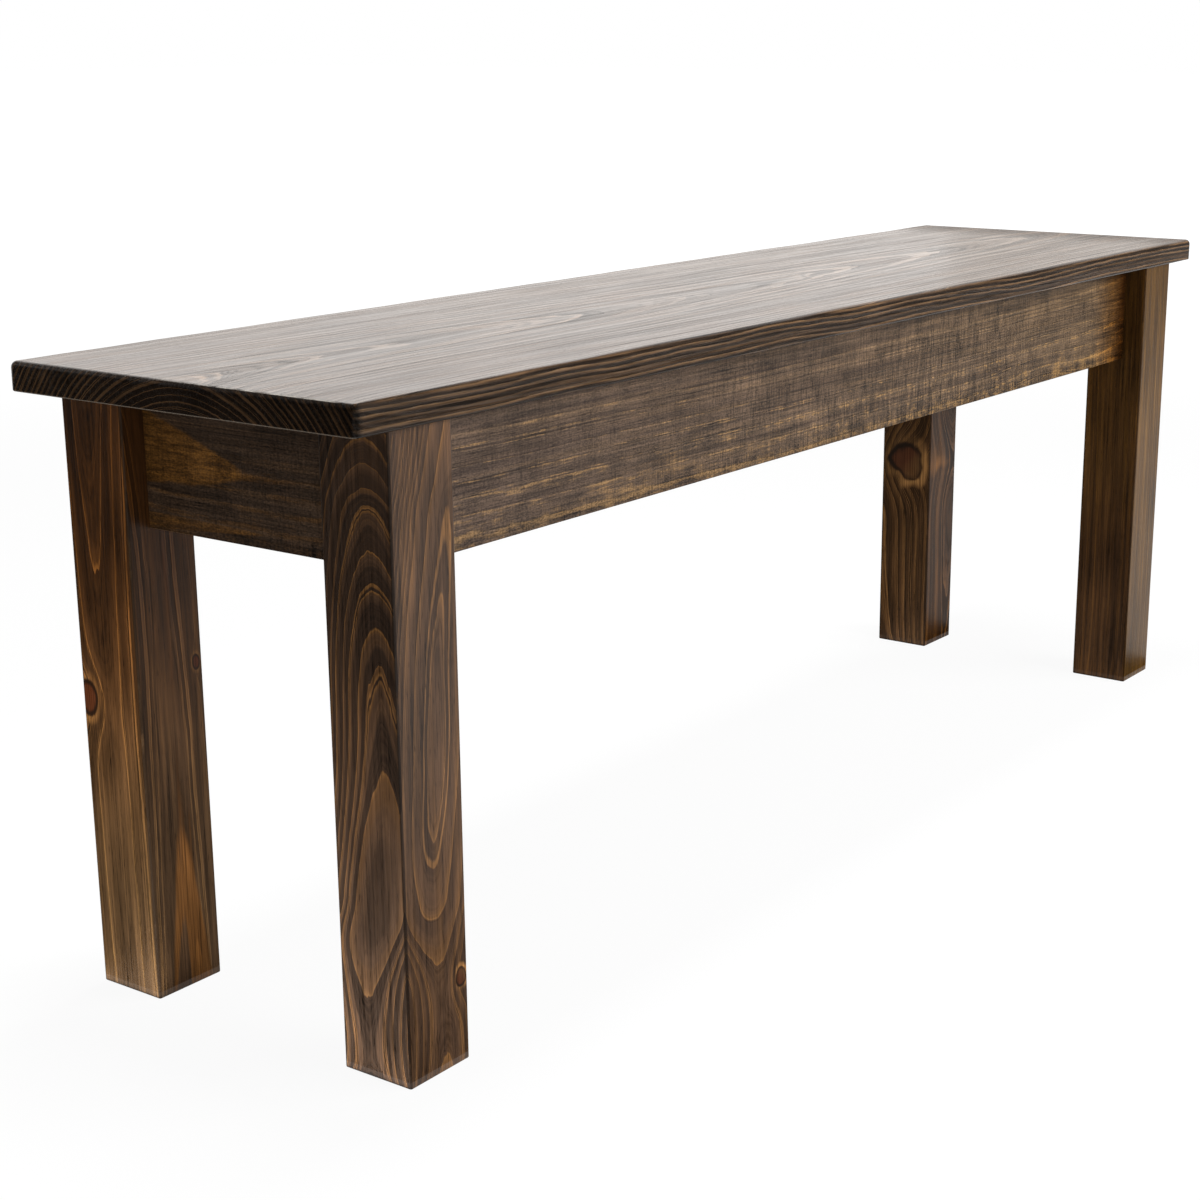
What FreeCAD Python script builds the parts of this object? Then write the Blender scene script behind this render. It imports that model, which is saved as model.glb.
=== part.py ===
import FreeCAD, Part
import math
import os
from FreeCAD import Vector

# Harvest bench: one wide plank on a framed base with four square legs that unbolt.
# Millimetres. The origin is on the floor under the middle of the seat, +X runs along the
# seat, -Y is the front and +Z is up. Left and right are as seen from the front.

# Driving dimensions: overall
BENCH_LENGTH = 1219.2
BENCH_WIDTH = 304.8
BENCH_HEIGHT = 444.5

# Driving dimensions: seat plank
SEAT_THICKNESS = 20.6
SEAT_TOP_ROUND = 4.8
SEAT_UNDER_ROUND = 1.6
SEAT_CORNER_ROUND = 5.0
SEAT_END_OVERHANG = 34.9
SEAT_SIDE_OVERHANG = 7.5

# Driving dimensions: legs
LEG_SIDE = 57.2
LEG_EDGE_ROUND = 1.8
LEG_FOOT_ROUND = 1.0
BOLT_FLAT_DEPTH = 9.9
BOLT_FLAT_RUNOUT = 10.0

# Driving dimensions: aprons and the brace between them
APRON_HEIGHT = 92.0
APRON_THICKNESS = 19.05
APRON_EDGE_ROUND = 1.2
SIDE_APRON_SETBACK = 20.6
END_APRON_SETBACK = 18.6
BRACE_HEIGHT = 64.0
BRACE_THICKNESS = 19.05
BRACE_EDGE_ROUND = 1.2

# Driving dimensions: corner blocks
BLOCK_THICKNESS = 28.6
BLOCK_HEIGHT = 70.0
BLOCK_TOP_GAP = 6.0
BLOCK_LEG_GAP = 4.0

# Driving dimensions: hanger bolts with their washers and nuts
BOLT_DIAMETER = 7.94
BOLT_EMBED = 42.0
BOLT_FREE_LENGTH = 46.9
BOLT_POINT_LENGTH = 7.0
BOLT_END_CHAMFER = 1.0
BOLT_SPACING = 28.0
BOLT_CLEARANCE = 0.6
WASHER_DIAMETER = 22.2
WASHER_THICKNESS = 1.6
NUT_ACROSS_FLATS = 12.7
NUT_THICKNESS = 6.75
NUT_CORNER_CHAMFER = 0.9
NUT_CLEARANCE = 0.08

# Driving dimensions: screws
SCREW_DIAMETER = 4.2
SCREW_POINT_LENGTH = 5.0
SCREW_HEAD_DIAMETER = 8.8
SCREW_HEAD_THICKNESS = 2.6
SCREW_HEAD_CROWN = 0.8
PILOT_CLEARANCE = 0.05
BLOCK_SCREW_LENGTH = 25.4
BLOCK_SCREW_GRIP = 12.0
BLOCK_SCREW_SPACING = 48.0
COUNTERBORE_CLEARANCE = 0.85

# Driving dimensions: pocket holes, drilled at a slant from the inner face to the edge
POCKET_ANGLE = 15.0
POCKET_CLEARANCE = 0.35
POCKET_SHOULDER = 17.0
POCKET_SCREW_LENGTH = 31.75
SEAT_SCREWS_PER_SIDE = 4
BRACE_SEAT_SCREW_SPACING = 60.0
BRACE_END_SCREW_SPACING = 32.0

# Places that follow from the driving dimensions
SEAT_UNDERSIDE = BENCH_HEIGHT - SEAT_THICKNESS
APRON_BOTTOM = SEAT_UNDERSIDE - APRON_HEIGHT
LEG_OUTER_X = BENCH_LENGTH / 2 - SEAT_END_OVERHANG
LEG_OUTER_Y = BENCH_WIDTH / 2 - SEAT_SIDE_OVERHANG
LEG_INNER_X = LEG_OUTER_X - LEG_SIDE
LEG_INNER_Y = LEG_OUTER_Y - LEG_SIDE
SIDE_APRON_INNER_Y = LEG_OUTER_Y - SIDE_APRON_SETBACK - APRON_THICKNESS
END_APRON_INNER_X = LEG_OUTER_X - END_APRON_SETBACK - APRON_THICKNESS

# Holes that take a screw's head, with room round it
COUNTERBORE_DIAMETER = SCREW_HEAD_DIAMETER + 2 * COUNTERBORE_CLEARANCE
POCKET_DIAMETER = SCREW_HEAD_DIAMETER + 2 * POCKET_CLEARANCE

# Distances along the diagonal of a corner, counted from the leg's outer edge
ROOT_TWO = math.sqrt(2)
BOLT_FLAT_DIAGONAL = LEG_SIDE * ROOT_TWO - BOLT_FLAT_DEPTH
BLOCK_NEAR_DIAGONAL = BOLT_FLAT_DIAGONAL + BLOCK_LEG_GAP
BLOCK_FAR_DIAGONAL = BLOCK_NEAR_DIAGONAL + BLOCK_THICKNESS
BLOCK_TOP = SEAT_UNDERSIDE - BLOCK_TOP_GAP
BLOCK_MIDDLE = BLOCK_TOP - BLOCK_HEIGHT / 2
BOLT_HEIGHTS = [BLOCK_MIDDLE + side * BOLT_SPACING / 2 for side in (-1, 1)]
BLOCK_SCREW_HEIGHTS = [BLOCK_MIDDLE + side * BLOCK_SCREW_SPACING / 2 for side in (-1, 1)]

X_AXIS = Vector(1, 0, 0)
Y_AXIS = Vector(0, 1, 0)
Z_AXIS = Vector(0, 0, 1)
DIAGONAL = Vector(1 / ROOT_TWO, 1 / ROOT_TWO, 0)
SIDES = {"left": -1, "right": 1}
FACES = {"front": -1, "back": 1}


# Helpers

def box(x_range, y_range, z_range):
    """A rectangular solid between three pairs of limits."""
    size = [high - low for low, high in (x_range, y_range, z_range)]
    return Part.makeBox(*size, Vector(x_range[0], y_range[0], z_range[0]))


def rod(diameter, start, direction, length):
    """A cylinder that runs from start along direction."""
    return Part.makeCylinder(diameter / 2, length, start, direction)


def turned(outline, base, direction):
    """A turned solid: outline is a list of (radius, height), with the height along direction."""
    points = [Vector(radius, 0, height) for radius, height in outline]
    face = Part.Face(Part.makePolygon(points + points[:1]))
    solid = face.revolve(Vector(), Z_AXIS, 360)
    solid.Placement = FreeCAD.Placement(base, FreeCAD.Rotation(Z_AXIS, direction))
    return solid


def prism(points, height):
    """An upright solid on a flat outline."""
    face = Part.Face(Part.makePolygon(points + points[:1]))
    return face.extrude(Z_AXIS * height)


def edges_along(shape, axis, wanted=lambda middle: True):
    """The straight edges that run along an axis and whose middle is wanted."""
    found = []
    for edge in shape.Edges:
        run = edge.Vertexes[-1].Point - edge.Vertexes[0].Point
        if run.Length and abs(run.normalize().dot(axis)) > 0.999 and wanted(edge.CenterOfMass):
            found.append(edge)
    return found


def rounded_plane(shape, radius, height):
    """Rounds every edge of the shape that lies in the level plane at a height."""
    edges = []
    for edge in shape.Edges:
        limits = edge.BoundBox
        if abs(limits.ZMin - height) + abs(limits.ZMax - height) < 1e-6:
            edges.append(edge)
    return shape.makeFillet(radius, edges)


def at_corner(shape, side, face):
    """A shape made for the front left corner, mirrored to any of the four."""
    placed = shape.copy()
    if side > 0:
        placed = placed.mirror(Vector(), X_AXIS)
    if face > 0:
        placed = placed.mirror(Vector(), Y_AXIS)
    return placed


def corner_point(along, across, height):
    """A point of the front left corner, counted inwards from the leg's outer edge."""
    return Vector(along - LEG_OUTER_X, across - LEG_OUTER_Y, height)


def diagonal_point(distance, height):
    """A point on the diagonal of the front left corner."""
    return corner_point(distance / ROOT_TWO, distance / ROOT_TWO, height)


# Screws, and the holes that they sit in

def screw(seat_point, direction, length):
    """A round-headed wood screw whose head bears on seat_point and whose point leads along direction."""
    radius = SCREW_DIAMETER / 2
    head = SCREW_HEAD_DIAMETER / 2
    outline = [
        (0, -SCREW_HEAD_THICKNESS),
        (head - SCREW_HEAD_CROWN, -SCREW_HEAD_THICKNESS),
        (head, -SCREW_HEAD_THICKNESS + SCREW_HEAD_CROWN),
        (head, 0),
        (radius, 0),
        (radius, length - SCREW_POINT_LENGTH),
        (0, length),
    ]
    return turned(outline, seat_point, direction)


def screw_hole(seat_point, direction, length):
    """The pilot hole that a screw fills, from under its head to its point."""
    return rod(SCREW_DIAMETER + 2 * PILOT_CLEARANCE, seat_point, direction, length)


class Pocket:
    """One pocket screw: it leaves a board through the middle of an edge and enters the next piece."""

    def __init__(self, exit_point, edge_normal, face_normal, thickness):
        slant = math.radians(POCKET_ANGLE)
        self.direction = edge_normal * math.cos(slant) - face_normal * math.sin(slant)
        self.seat_point = exit_point - self.direction * POCKET_SHOULDER
        reach = thickness / 2 + POCKET_DIAMETER / 2 * math.cos(slant)
        self.pocket_length = reach / math.sin(slant) - POCKET_SHOULDER

    def screw(self):
        return screw(self.seat_point, self.direction, POCKET_SCREW_LENGTH)

    def pilot(self):
        return screw_hole(self.seat_point, self.direction, POCKET_SCREW_LENGTH)

    def cutter(self):
        """The pocket for the head and the hole for the shank, as one tool."""
        pocket = rod(POCKET_DIAMETER, self.seat_point, self.direction * -1, self.pocket_length)
        return pocket.fuse(self.pilot())


def side_apron_pockets(face):
    """Pocket screws from the front or back apron up into the seat, spread over both bays."""
    block_reach = BLOCK_FAR_DIAGONAL * ROOT_TWO - (LEG_OUTER_Y - SIDE_APRON_INNER_Y)
    bay = LEG_OUTER_X - block_reach
    right_count = SEAT_SCREWS_PER_SIDE // 2
    counts = {-1: SEAT_SCREWS_PER_SIDE - right_count, 1: right_count}
    middle_y = face * (SIDE_APRON_INNER_Y + APRON_THICKNESS / 2)
    places = [side * (i + 0.5) * bay / count for side, count in counts.items() for i in range(count)]
    exits = [Vector(x, middle_y, SEAT_UNDERSIDE) for x in places]
    return [Pocket(point, Z_AXIS, Y_AXIS * -face, APRON_THICKNESS) for point in exits]


def end_apron_pockets(side):
    """The pocket screw from an end apron up into the seat."""
    middle_x = side * (END_APRON_INNER_X + APRON_THICKNESS / 2)
    return [Pocket(Vector(middle_x, 0, SEAT_UNDERSIDE), Z_AXIS, X_AXIS * -side, APRON_THICKNESS)]


def brace_seat_pockets():
    """Pocket screws from the brace up into the seat, on its right face."""
    places = [side * BRACE_SEAT_SCREW_SPACING / 2 for side in (-1, 1)]
    return [Pocket(Vector(0, y, SEAT_UNDERSIDE), Z_AXIS, X_AXIS, BRACE_THICKNESS) for y in places]


def brace_end_pockets(face):
    """Pocket screws from one end of the brace into the apron there, on its left face."""
    middle_z = SEAT_UNDERSIDE - BRACE_HEIGHT / 2
    places = [middle_z + side * BRACE_END_SCREW_SPACING / 2 for side in (-1, 1)]
    end_y = face * SIDE_APRON_INNER_Y
    return [Pocket(Vector(0, end_y, z), Y_AXIS * face, X_AXIS * -1, BRACE_THICKNESS) for z in places]


def block_screw_seats():
    """(head seat, direction, apron) of each screw that holds the front left corner block."""
    side_face = LEG_OUTER_Y - SIDE_APRON_INNER_Y
    end_face = LEG_OUTER_X - END_APRON_INNER_X
    middle = (BLOCK_NEAR_DIAGONAL + BLOCK_FAR_DIAGONAL) / 2 * ROOT_TWO
    seats = []
    for height in BLOCK_SCREW_HEIGHTS:
        into_side = corner_point(middle - side_face, side_face + BLOCK_SCREW_GRIP, height)
        into_end = corner_point(end_face + BLOCK_SCREW_GRIP, middle - end_face, height)
        seats.append((into_side, Y_AXIS * -1, "side"))
        seats.append((into_end, X_AXIS * -1, "end"))
    return seats


def block_screw_holes(apron, side, face):
    """Pilot holes of one corner's block screws in its side or end apron."""
    seats = [s for s in block_screw_seats() if s[2] == apron]
    return [at_corner(screw_hole(point, way, BLOCK_SCREW_LENGTH), side, face) for point, way, _ in seats]


# Wooden pieces

def make_seat_plank():
    """The seat: one plank with rounded corners, a rounded top edge and an eased under edge."""
    half_length, half_width = BENCH_LENGTH / 2, BENCH_WIDTH / 2
    plank = box((-half_length, half_length), (-half_width, half_width), (SEAT_UNDERSIDE, BENCH_HEIGHT))
    plank = plank.makeFillet(SEAT_CORNER_ROUND, edges_along(plank, Z_AXIS))
    plank = rounded_plane(plank, SEAT_TOP_ROUND, BENCH_HEIGHT)
    plank = rounded_plane(plank, SEAT_UNDER_ROUND, SEAT_UNDERSIDE)
    return plank.cut([pocket.pilot() for pocket in seat_pockets()])


def make_leg():
    """The front left leg: a square post with eased edges, and a flat on its inner edge for the bolts."""
    leg = box((-LEG_OUTER_X, -LEG_INNER_X), (-LEG_OUTER_Y, -LEG_INNER_Y), (0, SEAT_UNDERSIDE))
    leg = leg.makeFillet(LEG_EDGE_ROUND, edges_along(leg, Z_AXIS))
    leg = rounded_plane(leg, LEG_FOOT_ROUND, 0)
    flat_bottom = BLOCK_TOP - BLOCK_HEIGHT - BOLT_FLAT_RUNOUT
    flat_side = BOLT_FLAT_DEPTH * ROOT_TWO
    flat = prism(
        [
            corner_point(LEG_SIDE - flat_side, LEG_SIDE, flat_bottom),
            corner_point(LEG_SIDE, LEG_SIDE - flat_side, flat_bottom),
            corner_point(LEG_SIDE, LEG_SIDE, flat_bottom),
        ],
        SEAT_UNDERSIDE - flat_bottom,
    )
    hole_start = BOLT_FLAT_DIAGONAL - BOLT_EMBED
    hole_diameter = BOLT_DIAMETER + 2 * PILOT_CLEARANCE
    holes = [rod(hole_diameter, diagonal_point(hole_start, z), DIAGONAL, BOLT_EMBED) for z in BOLT_HEIGHTS]
    return leg.cut([flat] + holes)


def make_side_apron(face):
    """The front or back apron, between two legs, with its pockets and pilot holes on the inner face."""
    inner, outer = face * SIDE_APRON_INNER_Y, face * (SIDE_APRON_INNER_Y + APRON_THICKNESS)
    board = box((-LEG_INNER_X, LEG_INNER_X), sorted((inner, outer)), (APRON_BOTTOM, SEAT_UNDERSIDE))
    board = board.makeFillet(APRON_EDGE_ROUND, edges_along(board, X_AXIS, lambda m: m.z < BLOCK_MIDDLE))
    tools = [pocket.cutter() for pocket in side_apron_pockets(face)]
    tools += [pocket.pilot() for pocket in brace_end_pockets(face)]
    for side in SIDES.values():
        tools += block_screw_holes("side", side, face)
    return board.cut(tools)


def make_end_apron(side):
    """The left or right end apron, between two legs, with its pocket and pilot holes on the inner face."""
    inner, outer = side * END_APRON_INNER_X, side * (END_APRON_INNER_X + APRON_THICKNESS)
    board = box(sorted((inner, outer)), (-LEG_INNER_Y, LEG_INNER_Y), (APRON_BOTTOM, SEAT_UNDERSIDE))
    board = board.makeFillet(APRON_EDGE_ROUND, edges_along(board, Y_AXIS, lambda m: m.z < BLOCK_MIDDLE))
    tools = [pocket.cutter() for pocket in end_apron_pockets(side)]
    for face in FACES.values():
        tools += block_screw_holes("end", side, face)
    return board.cut(tools)


def make_brace():
    """The brace that ties the two long aprons together under the middle of the seat."""
    half = BRACE_THICKNESS / 2
    bottom = SEAT_UNDERSIDE - BRACE_HEIGHT
    board = box((-half, half), (-SIDE_APRON_INNER_Y, SIDE_APRON_INNER_Y), (bottom, SEAT_UNDERSIDE))
    board = board.makeFillet(BRACE_EDGE_ROUND, edges_along(board, Y_AXIS, lambda m: m.z - bottom < 1e-6))
    pockets = brace_seat_pockets() + [p for face in FACES.values() for p in brace_end_pockets(face)]
    return board.cut([pocket.cutter() for pocket in pockets])


def make_corner_block():
    """The front left corner block: it spans the corner at 45 degrees, with mitred ends on both aprons."""
    side_face = LEG_OUTER_Y - SIDE_APRON_INNER_Y
    end_face = LEG_OUTER_X - END_APRON_INNER_X
    near, far = BLOCK_NEAR_DIAGONAL * ROOT_TWO, BLOCK_FAR_DIAGONAL * ROOT_TWO
    bottom = BLOCK_TOP - BLOCK_HEIGHT
    block = prism(
        [
            corner_point(near - side_face, side_face, bottom),
            corner_point(far - side_face, side_face, bottom),
            corner_point(end_face, far - end_face, bottom),
            corner_point(end_face, near - end_face, bottom),
        ],
        BLOCK_HEIGHT,
    )
    bolt_hole = BOLT_DIAMETER + 2 * BOLT_CLEARANCE
    starts = [diagonal_point(BLOCK_NEAR_DIAGONAL, z) for z in BOLT_HEIGHTS]
    tools = [rod(bolt_hole, start, DIAGONAL, BLOCK_THICKNESS) for start in starts]
    for point, way, _ in block_screw_seats():
        tools.append(screw_hole(point, way, BLOCK_SCREW_LENGTH))
        tools.append(rod(COUNTERBORE_DIAMETER, point, way * -1, far))
    return block.cut(tools)


# Fasteners

def make_hanger_bolt(height):
    """A hanger bolt: its pointed half is in the leg, its plain half goes through the corner block."""
    radius = BOLT_DIAMETER / 2
    length = BOLT_EMBED + BOLT_FREE_LENGTH
    outline = [
        (0, 0),
        (radius, BOLT_POINT_LENGTH),
        (radius, length - BOLT_END_CHAMFER),
        (radius - BOLT_END_CHAMFER, length),
        (0, length),
    ]
    return turned(outline, diagonal_point(BOLT_FLAT_DIAGONAL - BOLT_EMBED, height), DIAGONAL)


def make_bolt_washer(height):
    """The flat washer between a nut and the corner block."""
    start = diagonal_point(BLOCK_FAR_DIAGONAL, height)
    hole = BOLT_DIAMETER + 2 * BOLT_CLEARANCE
    washer = rod(WASHER_DIAMETER, start, DIAGONAL, WASHER_THICKNESS)
    return washer.cut(rod(hole, start, DIAGONAL, WASHER_THICKNESS))


def make_bolt_nut(height):
    """A hexagon nut with chamfered corners."""
    corner = NUT_ACROSS_FLATS / math.sqrt(3)
    turns = [math.radians(60 * i) for i in range(6)]
    points = [Vector(corner * math.cos(turn), corner * math.sin(turn), 0) for turn in turns]
    start = diagonal_point(BLOCK_FAR_DIAGONAL + WASHER_THICKNESS, height)
    hexagon = prism(points, NUT_THICKNESS)
    hexagon.Placement = FreeCAD.Placement(start, FreeCAD.Rotation(Z_AXIS, DIAGONAL))
    chamfered = turned(
        [
            (0, 0),
            (corner, 0),
            (corner, NUT_THICKNESS - NUT_CORNER_CHAMFER),
            (NUT_ACROSS_FLATS / 2, NUT_THICKNESS),
            (0, NUT_THICKNESS),
        ],
        start,
        DIAGONAL,
    )
    bore = rod(BOLT_DIAMETER + 2 * NUT_CLEARANCE, start, DIAGONAL, NUT_THICKNESS)
    return hexagon.common(chamfered).cut(bore)


def seat_pockets():
    """Every pocket screw that holds the seat down."""
    pockets = brace_seat_pockets()
    for face in FACES.values():
        pockets += side_apron_pockets(face)
    for side in SIDES.values():
        pockets += end_apron_pockets(side)
    return pockets


def at_every_corner(shapes):
    """Copies of the front left corner's shapes at all four corners."""
    corners = [(side, face) for face in FACES.values() for side in SIDES.values()]
    return [at_corner(shape, *corner) for corner in corners for shape in shapes]


# The bench, piece by piece

def make_pieces():
    """Every node's name and its solids."""
    pieces = {"seat_plank": [make_seat_plank()], "centre_brace": [make_brace()]}
    leg, block = make_leg(), make_corner_block()
    for face_name, face in FACES.items():
        pieces[f"{face_name}_apron"] = [make_side_apron(face)]
        for side_name, side in SIDES.items():
            pieces[f"{face_name}_{side_name}_leg"] = [at_corner(leg, side, face)]
            pieces[f"{face_name}_{side_name}_corner_block"] = [at_corner(block, side, face)]
    for side_name, side in SIDES.items():
        pieces[f"{side_name}_end_apron"] = [make_end_apron(side)]
    block_screws = [screw(point, way, BLOCK_SCREW_LENGTH) for point, way, _ in block_screw_seats()]
    pieces["hanger_bolts"] = at_every_corner([make_hanger_bolt(z) for z in BOLT_HEIGHTS])
    pieces["bolt_washers"] = at_every_corner([make_bolt_washer(z) for z in BOLT_HEIGHTS])
    pieces["bolt_nuts"] = at_every_corner([make_bolt_nut(z) for z in BOLT_HEIGHTS])
    pieces["block_screws"] = at_every_corner(block_screws)
    pieces["seat_screws"] = [pocket.screw() for pocket in seat_pockets()]
    pieces["brace_screws"] = [p.screw() for face in FACES.values() for p in brace_end_pockets(face)]
    return pieces


def solids_of(shapes):
    """The plain solids of a list of shapes."""
    return [solid for shape in shapes for solid in shape.Solids]


os.makedirs("parts", exist_ok=True)
for name, shapes in make_pieces().items():
    solids = solids_of(shapes)
    node = solids[0] if len(solids) == 1 else Part.makeCompound(solids)
    node.exportStep(f"parts/{name}.step")
    print(f"{name}: {len(solids)} solid(s), {node.Volume / 1000:.1f} cm3, valid {node.isValid()}")
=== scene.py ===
import math

import bpy
from mathutils import Matrix, Vector


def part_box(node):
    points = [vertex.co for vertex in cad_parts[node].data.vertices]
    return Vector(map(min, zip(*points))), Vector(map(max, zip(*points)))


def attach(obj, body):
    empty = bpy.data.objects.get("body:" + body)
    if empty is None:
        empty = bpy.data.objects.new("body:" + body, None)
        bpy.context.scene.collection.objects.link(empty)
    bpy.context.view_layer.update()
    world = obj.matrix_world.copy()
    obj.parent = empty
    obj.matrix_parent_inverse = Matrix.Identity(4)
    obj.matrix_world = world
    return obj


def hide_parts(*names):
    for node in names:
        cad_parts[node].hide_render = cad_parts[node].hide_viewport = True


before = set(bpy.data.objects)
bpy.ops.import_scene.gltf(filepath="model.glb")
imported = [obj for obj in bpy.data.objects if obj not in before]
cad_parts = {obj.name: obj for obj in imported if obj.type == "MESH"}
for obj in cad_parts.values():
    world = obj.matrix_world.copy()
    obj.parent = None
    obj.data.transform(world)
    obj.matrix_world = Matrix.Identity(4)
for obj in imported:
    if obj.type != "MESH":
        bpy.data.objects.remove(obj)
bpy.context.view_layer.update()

# A dark-stained pine bench: a planed plank on square legs, with saw-marked aprons between them.
# Metres for meshes, lights and the camera. The grain of each board is drawn in millimetres of the
# bench's own frame: +X along the seat, -Y to the front, +Z up from the floor.

# Sizes of the modelled pieces, in metres
SEAT_CORNER_ROUND = 0.005
SEAT_TOP_ROUND = 0.0048
SEAT_UNDER_ROUND = 0.0016
SEAT_EDGE_CUTS = 120
HAND_SANDING_DEPTH = 0.0007
HAND_SANDING_LENGTH = 0.07
APRON_EDGE_ROUND = 0.0012
SAW_STEP = 0.0013
SAW_ROWS = 9
SAW_DEPTH = 0.0005
SAW_PITCH = 0.0034
SAW_STROKE = 0.05
SCREW_LENGTHS = {"block_screws": 0.0254, "seat_screws": 0.03175, "brace_screws": 0.03175}
SCREW_RADIUS = 0.0021
SCREW_POINT = 0.005
HEAD_RADIUS = 0.0044
HEAD_THICKNESS = 0.0026
HEAD_CROWN = 0.0008
DRIVE_SIDE = 0.0026
DRIVE_DEPTH = 0.0017
POCKET_RADIUS = 0.00475
POCKET_REACH = 0.06
BOLT_RADIUS = 0.00397
BOLT_EMBED = 0.042
BOLT_LENGTH = 0.0889
BOLT_POINT = 0.007
THREAD_PITCH = 0.00141
THREAD_DEPTH = 0.0007

# Stain colours, as linear red, green and blue, through one year's growth of a board: the first soft
# wood drank the most stain, and the last hard wood the least
BROWN_STAIN = [(0.025, 0.0143, 0.0088), (0.058, 0.0308, 0.0162), (0.086, 0.0420, 0.0164),
               (0.160, 0.076, 0.0240)]
RED_STAIN = [(0.039, 0.0214, 0.0098), (0.065, 0.0350, 0.0154), (0.118, 0.0630, 0.0250),
             (0.245, 0.130, 0.0450)]
CHESTNUT_STAIN = [(0.026, 0.0124, 0.0044), (0.0525, 0.0247, 0.0087), (0.0875, 0.0416, 0.0141),
                  (0.1325, 0.0653, 0.0213)]
GOLDEN_STAIN = [(0.034, 0.0146, 0.0030), (0.057, 0.0242, 0.0042), (0.090, 0.0390, 0.0060),
                (0.140, 0.064, 0.0100)]
SEAT_STAIN = [(0.018, 0.0115, 0.0080), (0.036, 0.0210, 0.0125), (0.068, 0.038, 0.0190),
              (0.105, 0.058, 0.027)]
EDGE_STAIN = [(0.016, 0.0106, 0.0074), (0.034, 0.0206, 0.0126), (0.093, 0.0525, 0.0265),
              (0.144, 0.083, 0.040)]
APRON_STAIN = [(0.043, 0.0282, 0.0182), (0.068, 0.0450, 0.0274), (0.100, 0.064, 0.0345),
               (0.134, 0.085, 0.042)]
# The left end apron's own stain, darkened further as painted shade from the seat's overhang
SHADED_END_STAIN = [(0.024, 0.0150, 0.0098), (0.036, 0.0222, 0.0140), (0.051, 0.0300, 0.0168),
             (0.070, 0.040, 0.0205)]
BARE_PINE = [(0.60, 0.41, 0.22), (0.56, 0.36, 0.18), (0.47, 0.26, 0.11), (0.38, 0.18, 0.06)]
SAWN_GOLD = (0.215, 0.126, 0.046)
# Amber where the stain is thin on the left end apron, also darkened as painted shade
SHADED_AMBER = (0.092, 0.041, 0.0090)
COOL_STAIN = (0.89, 0.89, 1.05)
WARM_STAIN = (1.03, 0.97, 0.84)
# Tints for the front apron's right end beside the right front leg: stain pooled at the joint, with painted
# warm light bounced off the leg, then painted shadow of the leg
POOL_AND_BOUNCE_TINT = (1.0, 0.76, 0.42)
POOL_AND_SHADOW_TINT = (0.34, 0.25, 0.14)
KNOT_HEART = (0.060, 0.021, 0.009)
KNOT_RIM = (0.014, 0.008, 0.005)

# The camera, from the photograph's perspective
CAMERA_PLACE = (-1.4973, -1.0003, 0.6482)
CAMERA_TURN = (74.684, 0.138, -54.521)
CAMERA_LENS = 65.02
CAMERA_SHIFT = (-0.05235, 0.0201)


# Short ways to add shader nodes

class Nodes:
    """The nodes of one material, added and joined with few words."""

    def __init__(self, name):
        self.material = bpy.data.materials.new(name)
        self.material.use_nodes = True
        self.tree = self.material.node_tree
        self.tree.nodes.clear()

    def feed(self, socket, value):
        if isinstance(value, bpy.types.NodeSocket):
            self.tree.links.new(value, socket)
        elif value is not None:
            socket.default_value = value

    def add(self, kind, inputs=None, **settings):
        node = self.tree.nodes.new(kind)
        for key, value in settings.items():
            setattr(node, key, value)
        for key, value in (inputs or {}).items():
            self.feed(node.inputs[key], value)
        return node

    def math(self, operation, *values):
        node = self.add("ShaderNodeMath", operation=operation)
        for socket, value in zip(node.inputs, values):
            self.feed(socket, value)
        return node.outputs[0]

    def vector(self, operation, *values):
        node = self.add("ShaderNodeVectorMath", operation=operation)
        for socket, value in zip(node.inputs, values):
            self.feed(socket, value)
        return node.outputs[0]

    def length(self, vector):
        return self.add("ShaderNodeVectorMath", {0: vector}, operation="LENGTH").outputs["Value"]

    def split(self, vector):
        return self.add("ShaderNodeSeparateXYZ", {"Vector": vector}).outputs

    def total(self, *values):
        result = values[0]
        for value in values[1:]:
            result = self.math("ADD", result, value)
        return result

    def times(self, *values):
        result = values[0]
        for value in values[1:]:
            result = self.math("MULTIPLY", result, value)
        return result

    def ramp(self, value, low, high, start=0.0, end=1.0, shape="SMOOTHSTEP"):
        """The value mapped from low..high to start..end, with eased ends."""
        inputs = {"Value": value, "From Min": low, "From Max": high, "To Min": start, "To Max": end}
        return self.add("ShaderNodeMapRange", inputs, interpolation_type=shape).outputs[0]

    def mix(self, amount, first, second, blend="MIX"):
        """Two colours mixed."""
        node = self.add("ShaderNodeMix", data_type="RGBA", blend_type=blend)
        for socket, value in zip((node.inputs[0], node.inputs[6], node.inputs[7]), (amount, first, second)):
            if isinstance(value, tuple):
                value = (*value, 1.0)
            self.feed(socket, value)
        return node.outputs[2]

    def brighten(self, colour, amount):
        """A colour made lighter or darker by a factor."""
        return self.add("ShaderNodeVectorMath", {0: colour, "Scale": amount}, operation="SCALE").outputs[0]

    def stops(self, value, *stops):
        """A colour ramp through (place, colour) stops."""
        node = self.add("ShaderNodeValToRGB", {"Fac": value})
        elements = node.color_ramp.elements
        while len(elements) < len(stops):
            elements.new(0.5)
        for element, (place, colour) in zip(elements, stops):
            element.position = place
            element.color = (*colour, 1.0)
        return node.outputs[0]

    def noise(self, place, across, detail=2.0, roughness=0.5):
        """Noise whose features are about as long as across gives, in millimetres, on three axes."""
        steps = tuple(1.0 / size for size in across)
        scaled = self.vector("MULTIPLY", place, steps)
        inputs = {"Vector": scaled, "Scale": 1.0, "Detail": detail, "Roughness": roughness}
        return self.add("ShaderNodeTexNoise", inputs)


# The grain of one board

GRAIN_AXES = {"X": (0, 1, 2), "Y": (1, 0, 2), "Z": (2, 0, 1)}


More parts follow.
